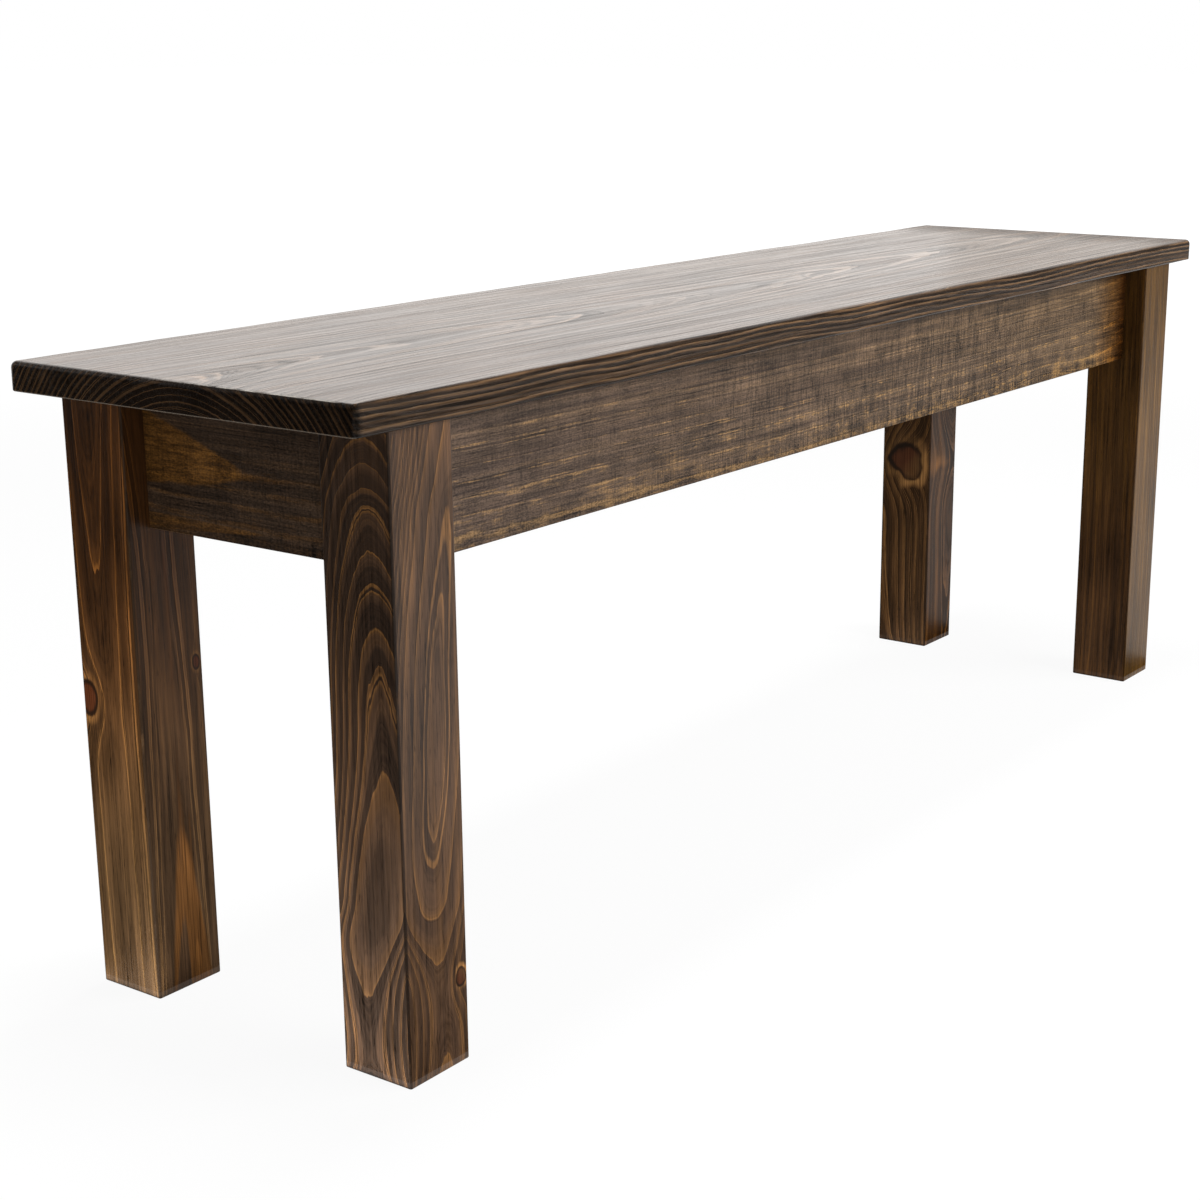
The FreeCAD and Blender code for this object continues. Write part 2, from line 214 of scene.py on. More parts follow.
def path_curve(nodes, along, places, offsets):
    """A smooth curve through offsets at places along the board, all in millimetres."""
    start, end = places[0], places[-1]
    low, high = min(offsets), max(offsets)
    reach = max(high - low, 1.0)
    share = nodes.ramp(along, start, end, shape="LINEAR")
    node = nodes.add("ShaderNodeFloatCurve", {"Value": share})
    points = node.mapping.curves[0].points
    wanted = [((p - start) / (end - start), (o - low) / reach) for p, o in zip(places, offsets)]
    points[0].location = wanted[0]
    points[1].location = wanted[-1]
    for place in wanted[1:-1]:
        points.new(*place)
    node.mapping.update()
    return nodes.math("MULTIPLY_ADD", node.outputs[0], reach, low)


class Board:
    """The growth rings of one board: distance from a wandering pith, bent by sway and by knots."""

    def __init__(self, name, grain, pith, ring, core=0.0, core_ring=1.0, sway=1.5, seed=0.0, thin=1.0,
                 lines_per_ring=2.7, knots=(), turn=0.0):
        self.nodes = Nodes(name)
        nodes = self.nodes
        self.long_axis, first_axis, second_axis = GRAIN_AXES[grain]
        coordinates = nodes.add("ShaderNodeTexCoord")
        place, normal = coordinates.outputs["Object"], coordinates.outputs["Normal"]
        if turn:
            place, normal = self.turned(place, turn), self.turned(normal, turn)
        self.place = nodes.vector("MULTIPLY", place, (1000.0, 1000.0, 1000.0))
        self.axes = nodes.split(self.place)
        self.normal = [nodes.math("ABSOLUTE", part) for part in nodes.split(normal)]
        self.end_grain = nodes.ramp(self.normal[self.long_axis], 0.6, 0.9)
        self.seeded = nodes.vector("ADD", self.place, (seed * 137.0, seed * 71.0, seed * 53.0))

        # Where the pith is at this place along the board, and how far away
        along = self.axes[self.long_axis]
        places = [point[0] for point in pith]
        first_pith = path_curve(nodes, along, places, [point[1] for point in pith])
        second_pith = path_curve(nodes, along, places, [point[2] for point in pith])
        bend = nodes.split(nodes.noise(self.seeded, self.lengths(70.0, 300.0), detail=1.0).outputs["Color"])
        shake = nodes.split(nodes.noise(self.seeded, self.lengths(7.0, 45.0)).outputs["Color"])
        offsets = []
        for axis, pith_place, channel in ((first_axis, first_pith, 0), (second_axis, second_pith, 1)):
            swayed = nodes.math("MULTIPLY_ADD", bend[channel], 2 * sway, -sway)
            shaken = nodes.math("MULTIPLY_ADD", shake[channel], 1.2, -0.6)
            away = nodes.math("SUBTRACT", self.axes[axis], pith_place)
            offsets.append(nodes.total(away, swayed, shaken))
        flat = nodes.add("ShaderNodeCombineXYZ", {"X": offsets[0], "Y": offsets[1]}).outputs[0]
        distance = nodes.length(flat)

        # Knots push the rings apart
        self.hearts = []
        for knot in knots:
            distance = self.add_knot(distance, **knot)

        # Ring number, with wide rings in the core, and how far through the year's growth
        inner = nodes.math("DIVIDE", nodes.math("MINIMUM", distance, core), core_ring)
        outer = nodes.math("DIVIDE", nodes.math("MAXIMUM", nodes.math("SUBTRACT", distance, core), 0.0), ring)
        count = nodes.math("ADD", inner, outer)
        uneven = self.chance_along(nodes.math("MULTIPLY", count, 0.8), seed)
        count = nodes.math("ADD", count, nodes.math("MULTIPLY_ADD", uneven, 0.5, -0.25))
        self.boldness = self.chance_of(nodes.math("FLOOR", count), seed)
        bend_power = nodes.math("MULTIPLY_ADD", self.boldness, -1.1 * thin, 1.9 * thin)
        year_part = nodes.math("FRACT", count)
        core_year = nodes.math("MULTIPLY_ADD", nodes.math("POWER", year_part, 1.7), 0.86, 0.14)
        core_year = nodes.times(core_year, nodes.math("LESS_THAN", distance, core))
        self.growth = nodes.math("MAXIMUM", nodes.math("POWER", year_part, bend_power), core_year)
        ramp_in = nodes.ramp(self.growth, 0.45, 0.93)
        ramp_out = nodes.ramp(self.growth, 0.97, 1.0, 1.0, 0.0)
        self.hard = nodes.times(ramp_in, ramp_out)

        # Thin lines between the rings
        thirds = nodes.math("MULTIPLY_ADD", count, lines_per_ring, nodes.times(uneven, 2.0))
        third = nodes.math("FRACT", thirds)
        line = nodes.times(nodes.ramp(third, 0.45, 0.8), nodes.ramp(third, 0.84, 0.96, 1.0, 0.0))
        bold_line = self.chance_of(nodes.math("FLOOR", thirds), seed + 0.5)
        self.line = nodes.times(line, bold_line)
        pale = nodes.times(nodes.ramp(third, 0.1, 0.36), nodes.ramp(third, 0.4, 0.5, 1.0, 0.0))
        self.pale = nodes.times(pale, bold_line)

        # Fine fibres and pores that run with the grain, and slow changes of the stain
        fibre = nodes.noise(self.seeded, self.lengths(1.3, 70.0), detail=4.0, roughness=0.7)
        self.fibre = fibre.outputs["Fac"]
        self.pore = nodes.noise(self.seeded, self.lengths(0.7, 9.0), detail=1.0).outputs["Fac"]
        self.streak = nodes.noise(self.seeded, self.lengths(4.0, 200.0), detail=3.0).outputs["Fac"]
        self.blotch = nodes.noise(self.seeded, self.lengths(30.0, 90.0)).outputs["Fac"]

    def turned(self, vector, degrees):
        """A vector in a frame that is turned about the upright axis."""
        inputs = {"Vector": vector, "Angle": math.radians(-degrees)}
        return self.nodes.add("ShaderNodeVectorRotate", inputs, rotation_type="Z_AXIS").outputs[0]

    def chance_along(self, value, seed):
        """A smooth random value along a line."""
        inputs = {"W": self.nodes.math("ADD", value, seed * 7.0), "Detail": 0.0}
        return self.nodes.add("ShaderNodeTexNoise", inputs, noise_dimensions="1D").outputs["Fac"]

    def chance_of(self, number, seed):
        """A random value for each whole number."""
        inputs = {"W": self.nodes.math("ADD", number, seed)}
        return self.nodes.add("ShaderNodeTexWhiteNoise", inputs, noise_dimensions="1D").outputs["Value"]

    def lengths(self, across, along):
        """Noise sizes across and along the grain, in the order of the axes."""
        sizes = [across] * 3
        sizes[self.long_axis] = along
        return tuple(sizes)

    def add_knot(self, distance, centre, radii, spread, push, heart=True, golden_side=(0, 0, 0)):
        """Bends the rings round a knot at centre and keeps how far each point is from its heart."""
        nodes = self.nodes
        away = nodes.vector("SUBTRACT", self.place, centre)
        reach = nodes.length(nodes.vector("DIVIDE", away, spread))
        swell = nodes.math("POWER", math.e, nodes.times(reach, reach, -1.0))
        if heart:
            ragged = nodes.noise(self.seeded, self.lengths(20.0, 24.0), detail=1.0).outputs["Color"]
            size = 0.9 * min(radii)
            ragged = nodes.vector("MULTIPLY_ADD", ragged, (size,) * 3, (-size / 2,) * 3)
            away = nodes.vector("DIVIDE", nodes.vector("ADD", away, ragged), radii)
            facing = nodes.add("ShaderNodeVectorMath", {0: away, 1: golden_side}, operation="DOT_PRODUCT")
            self.hearts.append((nodes.length(away), facing.outputs["Value"]))
        return nodes.math("MULTIPLY_ADD", swell, push, distance)

    def colour(self, stain, fade=0.5, depth=1.0, lines=0.45, bold_fade=0.05, least_fade=0.0):
        """Stained wood through its rings, with fibres, pores, stain blotches, knots and dark end grain."""
        nodes = self.nodes
        dark, soft, warm, line = stain
        rings = nodes.stops(self.growth, (0.0, dark), (0.16, dark), (0.5, soft), (0.8, warm), (0.92, line),
                            (0.965, line), (1.0, dark))
        plain = nodes.stops(self.streak, (0.3, dark), (0.5, soft), (0.72, warm))
        faint = nodes.ramp(self.boldness, 0.0, 0.8, fade, bold_fade)
        result = nodes.mix(nodes.math("MAXIMUM", faint, least_fade), rings, plain)
        black = tuple(0.6 * part for part in dark)
        pale = tuple(1.3 * part for part in warm)
        ends = nodes.stops(self.growth, (0.0, black), (0.5, black), (0.78, pale), (0.95, pale), (1.0, black))
        result = nodes.mix(nodes.times(self.end_grain, 0.9), result, ends)
        long_grain = nodes.math("SUBTRACT", 1.0, nodes.times(self.end_grain, 0.8))
        thin_lines = nodes.times(self.line, long_grain, -lines)
        fibres = nodes.times(nodes.math("SUBTRACT", self.fibre, 0.5), long_grain, 2.7 * depth)
        blotches = nodes.times(nodes.math("SUBTRACT", self.blotch, 0.5), 1.5 * depth)
        pores = nodes.times(nodes.ramp(self.pore, 0.6, 0.74), long_grain, -0.5 * depth)
        pale_lines = nodes.times(self.pale, long_grain, 0.9 * lines)
        result = nodes.brighten(result, nodes.total(thin_lines, pale_lines, fibres, blotches, pores, 1.0))
        for core, facing in self.hearts:
            result = self.knot_colour(result, core, facing, warm, line)
        return result

    def knot_colour(self, colour, core, facing, warm, line):
        """A knot: a blotchy red-brown heart, a thick outline, and a collar golden on one side."""
        nodes = self.nodes
        heart = nodes.mix(nodes.ramp(facing, -0.3, 0.9), KNOT_HEART, warm)
        heart = nodes.brighten(heart, nodes.ramp(self.fibre, 0.3, 0.7, 0.55, 1.45))
        collar = nodes.times(nodes.ramp(core, 0.95, 1.1), nodes.ramp(core, 1.15, 1.6, 1.0, 0.0),
                             nodes.ramp(facing, -0.6, 0.8, 0.15, 1.0))
        worn = nodes.brighten(nodes.mix(1.0, line, line), nodes.ramp(self.fibre, 0.35, 0.65, 0.7, 2.4))
        result = nodes.mix(collar, colour, worn)
        result = nodes.mix(nodes.ramp(core, 0.85, 1.0, 1.0, 0.0), result, heart)
        outline = nodes.times(nodes.ramp(core, 0.66, 0.88), nodes.ramp(core, 0.94, 1.12, 1.0, 0.0),
                              nodes.ramp(facing, -0.6, 0.9, 1.0, 0.35))
        return nodes.mix(outline, result, KNOT_RIM)

    def shade_and_rub_edges(self, colour, dark, worn):
        """Eased edges, where two faces meet: darker, partly stain and partly painted shade, and worn through
        in places.
        """
        nodes = self.nodes
        first, second = (self.normal[axis] for axis in range(3) if axis != self.long_axis)
        edge = nodes.ramp(nodes.times(first, second), 0.08, 0.3)
        patch = nodes.noise(self.seeded, self.lengths(20.0, 30.0), detail=4.0, roughness=0.65).outputs["Fac"]
        shaded_and_worn_edge = nodes.mix(nodes.ramp(patch, 0.52, 0.75, 0.0, 0.5), dark, worn)
        return nodes.mix(nodes.times(edge, 0.85), colour, shaded_and_worn_edge)

    def finish(self, colour, roughness, gloss=0.3, relief=0.00012, smoothing=0.1, height=None):
        """The shader: stain under a thin satin finish, with the hard rings a little proud and smoother."""
        nodes = self.nodes
        long_grain = nodes.math("SUBTRACT", 1.0, nodes.times(self.end_grain, 0.9))
        raised = nodes.total(nodes.times(self.hard, 0.5), nodes.times(self.line, -0.5),
                             nodes.times(self.fibre, 0.8))
        if height is not None:
            raised = nodes.math("ADD", raised, height)
        raised = nodes.times(raised, long_grain)
        bump = nodes.add("ShaderNodeBump", {"Height": raised, "Strength": 0.5, "Distance": relief})
        dull = nodes.math("SUBTRACT", self.line, self.hard)
        satin = nodes.total(nodes.times(dull, smoothing),
                            nodes.ramp(self.fibre, 0.3, 0.7, -0.04, 0.06), roughness)
        shader = nodes.add("ShaderNodeBsdfPrincipled", {
            "Base Color": colour, "Roughness": satin, "Specular IOR Level": gloss, "Normal": bump.outputs[0]})
        nodes.add("ShaderNodeOutputMaterial", {"Surface": shader.outputs[0]})
        return nodes.material


# Figures of the boards: the pith's place along each, and the knots

FIGURES = {
    "front_left_leg": dict(
        grain="Z", ring=3.6, core=33.7, core_ring=8.4, sway=0.5, seed=1.0, thin=2.3, lines_per_ring=3.3,
        pith=[(0, -541, -112), (18, -539.5, -111), (54, -541, -110), (122, -547.7, -124), (212, -541, -132),
              (270, -537.4, -131), (303, -533.8, -130), (327, -530.2, -129), (349, -526.6, -128),
              (374, -523, -127), (387, -519.4, -126), (424, -511, -124)],
        knots=[dict(centre=(-524, -146, 60), radii=(5, 30, 7), spread=(12, 30, 18), push=3.0,
                    golden_side=(0.4, 0, 0.4))]),
    "back_left_leg": dict(
        grain="Z", ring=7.4, sway=1.2, seed=2.0, thin=2.3,
        pith=[(0, -549, 118), (120, -549.5, 120), (200, -550, 121), (310, -553, 122), (424, -558.5, 118.5)],
        knots=[dict(centre=(-560, 139, 210), radii=(60, 9, 13), spread=(40, 20, 28), push=9.0,
                    golden_side=(2.2, 0.4, -0.3)),
               dict(centre=(-523, 97, 232), radii=(4, 24, 6), spread=(7, 20, 14), push=2.5,
                    golden_side=(0, 1.5, 0))]),
    "back_right_leg": dict(
        grain="Z", ring=4.4, sway=2.0, seed=3.0, thin=1.0,
        pith=[(0, 560, 150), (200, 565, 146), (424, 560, 142)],
        knots=[dict(centre=(516, 115, 203), radii=(60, 20, 20), spread=(60, 27, 34), push=17.0,
                    golden_side=(0, -0.8, -0.6))]),
    "front_right_leg": dict(
        grain="Z", ring=3.2, sway=1.5, seed=4.0,
        pith=[(0, 600, -200), (220, 606, -196), (424, 602, -190)]),
    "seat_plank": dict(
        grain="X", ring=4.3, sway=1.2, seed=5.0, thin=0.9,
        pith=[(-610, -9, 334), (-518, -1, 330), (-284, -5, 326),
              (-100, -9, 320), (250, -1, 313), (610, -6, 304)]),
    "front_apron": dict(
        grain="X", ring=7.5, sway=2.5, seed=6.0,
        pith=[(-520, 60, 190), (0, 62, 186), (520, 58, 196)],
        knots=[dict(centre=(330, -126, 322), radii=(9, 9, 9), spread=(70, 60, 32), push=-10.0, heart=False)]),
    "back_apron": dict(
        grain="X", ring=6.0, sway=2.5, seed=7.0,
        pith=[(-520, -40, 520), (0, -46, 512), (520, -38, 516)]),
    "left_end_apron": dict(
        grain="Y", ring=6.6, sway=2.0, seed=8.0,
        pith=[(-90, -470, 290), (0, -466, 292), (90, -470, 290)]),
    "right_end_apron": dict(
        grain="Y", ring=5.6, sway=2.0, seed=9.0,
        pith=[(-90, 450, 300), (0, 447, 304), (90, 452, 302)]),
    "centre_brace": dict(
        grain="Y", ring=3.8, sway=2.0, seed=10.0,
        pith=[(-110, 70, 330), (0, 74, 334), (110, 70, 330)]),
}

# front_light_and_shade tints the front and back faces of each leg: a painted sheen, lighter and cooler, on
# the front legs, and painted shade on the back legs.
LEG_LOOKS = {
    "front_left_leg": dict(stain=BROWN_STAIN, fade=0.25, lines=0.25, gloss=0.3, front_light_and_shade=(1.14, 1.14, 1.16),
                           front_fade=0.45),
    "back_left_leg": dict(stain=RED_STAIN, fade=0.14, lines=0.28, gloss=0.24, front_light_and_shade=(0.56, 0.58, 0.66),
                          front_fade=0.5, foot_fade=0.42, foot_tint=(0.86, 0.88, 0.87),
                          waist_painted_light=(1.5, 1.46, 1.42), top_tint=(1.0, 0.70, 0.40)),
    "back_right_leg": dict(
        stain=CHESTNUT_STAIN, fade=0.4, lines=0.3, gloss=0.16, front_light_and_shade=(0.68, 0.57, 0.40)),
    "front_right_leg": dict(
        stain=GOLDEN_STAIN, fade=0.95, bold_fade=0.6, lines=0.05, gloss=0.2,
        front_light_and_shade=(0.98, 1.1, 1.45), foot_tint=(0.72, 0.64, 0.42)),
}
LEG_FLAMES = {"back_left_leg": [
    dict(axes=(2, 0), root=(-10, -543), tip=(121, -546), spread=20.0,
         tint=(0.072, 0.030, 0.0080), amount=0.85),
    dict(axes=(2, 0), root=(-30, -554), tip=(58, -548), spread=10.0,
         tint=(0.030, 0.0165, 0.0086), amount=0.95),
    dict(axes=(2, 0), root=(-20, -537), tip=(34, -538), spread=7.0,
         tint=(0.072, 0.030, 0.0080), amount=0.85)]}
END_FLAMES = [
    dict(axes=(1, 2), root=(95, 389), tip=(-2, 377), spread=27.0, tint=SHADED_AMBER, amount=0.9),
    dict(axes=(1, 2), root=(95, 338), tip=(-20, 341), spread=6.0, tint=SHADED_AMBER, amount=0.6)]


def add_flame(board, colour, fibres, axes, root, tip, spread, tint, amount):
    """An amber patch from its root to its tip along the first axis, narrowing on the second."""
    nodes = board.nodes
    run = nodes.ramp(board.axes[axes[0]], root[0], tip[0], shape="LINEAR")
    middle = nodes.math("MULTIPLY_ADD", run, tip[1] - root[1], root[1])
    away = nodes.math("ABSOLUTE", nodes.math("SUBTRACT", board.axes[axes[1]], middle))
    inside = nodes.math("ADD", run, nodes.math("POWER", nodes.math("DIVIDE", away, spread), 1.5))
    ragged = nodes.total(inside, nodes.times(nodes.math("SUBTRACT", fibres, 0.5), 0.35),
                         nodes.times(nodes.math("SUBTRACT", board.blotch, 0.5), 0.3))
    glow = nodes.times(nodes.ramp(fibres, 0.3, 0.7, 0.4, 1.5), nodes.ramp(run, 0.2, 0.9, 0.75, 1.3))
    glow = nodes.brighten(nodes.mix(1.0, tint, tint), glow)
    return nodes.mix(nodes.ramp(ragged, 0.88, 1.02, amount, 0.0), colour, glow)


def leg_wood(node):
    board = Board(node + "_wood", **FIGURES[node])
    look = LEG_LOOKS[node]
    stain = look["stain"]
    nodes = board.nodes
    front = nodes.ramp(board.normal[1], 0.5, 0.9)
    foot = nodes.ramp(board.axes[2], 250.0, 130.0)
    least_fade = nodes.math("MAXIMUM", nodes.times(front, look.get("front_fade", 0.0)),
                            nodes.times(foot, look.get("foot_fade", 0.0)))
    colour = board.colour(stain, fade=look["fade"], lines=look["lines"],
                          bold_fade=look.get("bold_fade", 0.05), least_fade=least_fade)
    # Painted light and shade: the front and back faces take their own tint.
    colour = nodes.mix(front, colour, nodes.mix(1.0, colour, look["front_light_and_shade"], "MULTIPLY"))
    for patch in LEG_FLAMES.get(node, ()):
        colour = add_flame(board, colour, board.fibre, **patch)
    # Painted light: waist_painted_light lightens a leg's side faces at mid height, as light bounced up from
    # the floor would.
    side = nodes.math("SUBTRACT", 1.0, front)
    rising = nodes.ramp(board.axes[2], 50.0, 160.0)
    falling = nodes.ramp(board.axes[2], 240.0, 340.0, 1.0, 0.0)
    waist = nodes.times(side, rising, falling)
    rise = nodes.ramp(board.axes[2], 60.0, 380.0)
    zones = {"top_tint": rise, "waist_painted_light": waist, "foot_tint": nodes.times(side, foot)}
    for zone, share in zones.items():
        if zone in look:
            colour = nodes.mix(share, colour, nodes.mix(1.0, colour, look[zone], "MULTIPLY"))
    # Eased edges darker, partly stain and partly painted shade, with the stain worn through in places.
    colour = board.shade_and_rub_edges(colour, tuple(0.5 * part for part in stain[0]), stain[2])
    return board.finish(colour, roughness=0.42, gloss=look["gloss"])


def seat_wood(node):
    board = Board(node + "_wood", **FIGURES[node])
    nodes = board.nodes
    colour = board.colour(SEAT_STAIN, fade=0.3, lines=0.8)
    dark, soft, warm, line = EDGE_STAIN
    edge = nodes.ramp(board.normal[1], 0.4, 0.8)
    wave = nodes.noise(board.seeded, (190.0, 400.0, 400.0), detail=1.0).outputs["Fac"]
    shake = nodes.noise(board.seeded, (30.0, 60.0, 4.0)).outputs["Fac"]
    level = nodes.total(board.axes[2], nodes.times(wave, 14.0), nodes.times(shake, 2.2))
    level = nodes.math("DIVIDE", level, 4.0)
    bold = board.chance_of(nodes.math("FLOOR", level), 3.3)
    rings = nodes.stops(nodes.math("FRACT", level), (0.0, dark), (0.34, dark), (0.5, soft), (0.66, warm),
                        (0.88, line), (1.0, dark))
    plain = nodes.stops(board.streak, (0.35, dark), (0.55, soft), (0.75, warm))
    striped = nodes.mix(nodes.ramp(bold, 0.0, 0.7, 0.75, 0.05), rings, plain)
    striped = nodes.brighten(striped, nodes.ramp(board.fibre, 0.3, 0.7, 0.35, 1.15))
    colour = nodes.mix(edge, colour, striped)
    # Long-grain faces darker in the last few millimetres towards each end.
    away = nodes.ramp(nodes.math("ABSOLUTE", board.axes[0]), 601.0, 607.0)
    edge_darkening = nodes.times(away, nodes.math("SUBTRACT", 1.0, board.end_grain), -0.7)
    near = nodes.times(board.end_grain, nodes.ramp(board.axes[1], -150.0, -40.0, -0.45, 0.0))
    colour = nodes.brighten(colour, nodes.total(edge_darkening, near, 1.0))
    # Painted highlight: a pale line along the rounded lower edge of the seat's ends, as if light from the
    # floor caught it.
    under_edge_highlight = nodes.times(nodes.ramp(nodes.times(board.normal[0], board.normal[2]), 0.15, 0.4),
                             nodes.ramp(board.axes[2], 426.0, 428.0, 0.4, 0.0))
    colour = nodes.mix(under_edge_highlight, colour, (0.2, 0.175, 0.15))
    # Painted highlight: a pale, broken line where the seat's ends round over into the top, as if light
    # glanced off the round.
    round_over = nodes.times(board.normal[0], board.normal[2])
    highlight_breaks = nodes.noise(board.seeded, (4.0, 12.0, 4.0), detail=4.0, roughness=0.7).outputs["Fac"]
    end_highlight_line = nodes.times(nodes.ramp(round_over, 0.1, 0.25), nodes.ramp(round_over, 0.32, 0.45, 1.0, 0.0),
                            nodes.ramp(board.axes[2], 443.0, 443.6), nodes.ramp(highlight_breaks, 0.36, 0.62),
                            nodes.ramp(board.axes[1], -60.0, 60.0, 1.0, 0.0))
    colour = nodes.mix(end_highlight_line, colour, (0.34, 0.315, 0.28))
    grooves = nodes.noise(board.seeded, board.lengths(3.2, 220.0), detail=4.0, roughness=0.7).outputs["Fac"]
    satin = nodes.total(nodes.ramp(grooves, 0.34, 0.66, 0.14, 0.28), nodes.times(edge, 0.04),
                        nodes.ramp(board.axes[0], 510.0, 605.0, 0.0, 0.15))
    return board.finish(colour, satin, gloss=0.32, smoothing=0.07)


def sawn_wood(node, stain, gold, share, flames=(), hatch=(-900.0, 900.0), pooled_and_shaded=False):
    """Rough-sawn stained wood: golden fibres with faint upright saw ticks, and amber where stain is thin."""
    board = Board(node + "_wood", **FIGURES[node])
    nodes = board.nodes
    colour = board.colour(stain, fade=0.9, lines=0.25, bold_fade=0.5)
    along, thick = (1.0, 14.0) if FIGURES[node]["grain"] == "X" else (14.0, 1.0)
    tick_noise = nodes.noise(board.seeded, (1.3 * along, 1.3 * thick, 14.0), detail=2.0, roughness=0.6)
    ticks = tick_noise.outputs["Fac"]
    patches = nodes.noise(board.seeded, (24 * along, 24 * thick, 26.0), detail=3.0).outputs["Fac"]
    dashes = nodes.noise(board.seeded, board.lengths(3.0, 26.0), detail=4.0, roughness=0.65).outputs["Fac"]
    flecks = nodes.noise(board.seeded, board.lengths(2.4, 8.0), detail=4.0, roughness=0.65).outputs["Fac"]
    run = board.axes[board.long_axis]
    hatched = nodes.times(nodes.ramp(run, *hatch), nodes.ramp(run, 240.0, 430.0, 1.0, 0.35))
    dashes = nodes.math("ADD", dashes, nodes.times(nodes.math("SUBTRACT", flecks, dashes), hatched))
    rough = nodes.ramp(nodes.noise(board.seeded, board.lengths(60.0, 150.0)).outputs["Fac"], 0.35, 0.65)
    specks = nodes.noise(board.seeded, board.lengths(1.0, 2.2), detail=2.0).outputs["Fac"]

    # Golden fibres follow the rings, most of all near the lower edge
    low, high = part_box(node)
    height = nodes.ramp(board.axes[2], 1000 * low[2], 1000 * high[2], 0.34, -1.0, "LINEAR")
    rows = nodes.times(board.hard, nodes.ramp(dashes, 0.36, 0.6, 0.1, 1.1),
                       nodes.math("MULTIPLY_ADD", hatched, -0.4, 0.8))
    shine = nodes.total(rows, nodes.times(nodes.math("SUBTRACT", dashes, 0.5), 1.6),
                        nodes.times(nodes.math("SUBTRACT", patches, 0.5), 1.1),
                        nodes.times(nodes.math("SUBTRACT", ticks, 0.5), 0.5), height)
    fresh = nodes.brighten(nodes.mix(1.0, gold, gold), nodes.ramp(dashes, 0.3, 0.7, 0.5, 1.2))
    colour = nodes.mix(nodes.ramp(shine, 0.12, 0.72, 0.0, share), colour, fresh)
    for patch in flames:
        colour = add_flame(board, colour, dashes, **patch)
    if pooled_and_shaded:
        warmth = nodes.ramp(run, -520.0, 520.0, shape="LINEAR")
        colour = nodes.mix(1.0, colour, nodes.mix(warmth, COOL_STAIN, WARM_STAIN), "MULTIPLY")
        # Beside the right front leg: stain pooled at the joint, with painted warm bounced light and then
        # painted shadow of the leg.
        for tint, start, end in ((POOL_AND_BOUNCE_TINT, 440.0, 490.0), (POOL_AND_SHADOW_TINT, 474.0, 514.0)):
            inside = nodes.ramp(run, start, end)
            colour = nodes.mix(inside, colour, nodes.mix(1.0, colour, tint, "MULTIPLY"))
    tick_shade = nodes.ramp(ticks, 0.36, 0.64, -0.27, 0.17)
    sawn = nodes.times(tick_shade, nodes.total(nodes.times(rough, 0.6), hatched, 0.2))
    # Darker along the bottom few millimetres.
    edge_darkening = nodes.ramp(board.axes[2], 1000 * low[2] + 4.0, 1000 * low[2] + 14.0, -0.26, 0.0)
    worn = nodes.total(sawn, edge_darkening, nodes.ramp(patches, 0.34, 0.6, -0.18, 0.07),
                       nodes.ramp(specks, 0.3, 0.7, -0.34, 0.34), 1.0)
    colour = nodes.brighten(colour, worn)
    return board.finish(colour, roughness=0.5, gloss=0.22, relief=0.0002, height=nodes.times(ticks, 1.2))


def block_figure(node):
    """A corner block's grain runs level from apron to apron, at 45 degrees, with a pith of its own below."""
    low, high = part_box(node)
    x, y = (500.0 * (low[i] + high[i]) for i in range(2))
    turn = math.copysign(45.0, -x * y)
    middle = Matrix.Rotation(math.radians(-turn), 2) @ Vector((x, y))
    along = [middle.x + step for step in (-60.0, 0.0, 60.0)]
    pith = [(place, middle.y + 14.0, 318.0 + lift) for place, lift in zip(along, (0.0, 3.0, 1.0))]
    return dict(grain="X", ring=3.4, seed=11.0 + 0.004 * x + 0.05 * y, pith=pith, turn=turn)


def bare_wood(node):
    figure = FIGURES.get(node) or block_figure(node)
    board = Board(node + "_wood", **figure)
    return board.finish(board.colour(BARE_PINE, depth=0.35, lines=0.1), roughness=0.6)


def plated_steel(name, tint, roughness):
    nodes = Nodes(name)
    place = nodes.add("ShaderNodeTexCoord").outputs["Object"]
    place = nodes.vector("MULTIPLY", place, (1000.0, 1000.0, 1000.0))
    speckle = nodes.noise(place, (1.4, 1.4, 1.4), detail=4.0).outputs["Fac"]
    colour = nodes.mix(nodes.ramp(speckle, 0.3, 0.7), tuple(0.8 * c for c in tint), tint)
    gloss = nodes.ramp(speckle, 0.3, 0.7, roughness - 0.08, roughness + 0.1)
    inputs = {"Base Color": colour, "Metallic": 1.0, "Roughness": gloss}
    shader = nodes.add("ShaderNodeBsdfPrincipled", inputs)
    nodes.add("ShaderNodeOutputMaterial", {"Surface": shader.outputs[0]})
    return nodes.material


def give(piece, material):
    piece.data.materials.clear()
    piece.data.materials.append(material)


# Modelling by hand: a primitive, its edges picked by place, and modifiers that are applied

def add_block(name, low, high):
    """A block between two corners."""
    low, high = Vector(low), Vector(high)
    bpy.ops.object.select_all(action="DESELECT")
    bpy.ops.mesh.primitive_cube_add(size=1.0, location=(low + high) / 2, scale=high - low)
    piece = bpy.context.active_object
    piece.name = name
    bpy.ops.object.transform_apply(location=True, rotation=True, scale=True)
    return piece


def pick_edges(piece, wanted):
    """Goes into edit mode with just the edges whose two ends are wanted selected."""
    bpy.ops.object.mode_set(mode="EDIT")
    bpy.ops.mesh.select_mode(type="EDGE")
    bpy.ops.mesh.select_all(action="DESELECT")
    bpy.ops.object.mode_set(mode="OBJECT")
    points = piece.data.vertices
    for edge in piece.data.edges:
        edge.select = wanted(*(points[i].co for i in edge.vertices))
    bpy.ops.object.mode_set(mode="EDIT")


def runs_along(first, second, axis):
    """Whether the edge between two points runs along an axis."""
    run = second - first
    return abs(run[axis]) > 0.999 * run.length


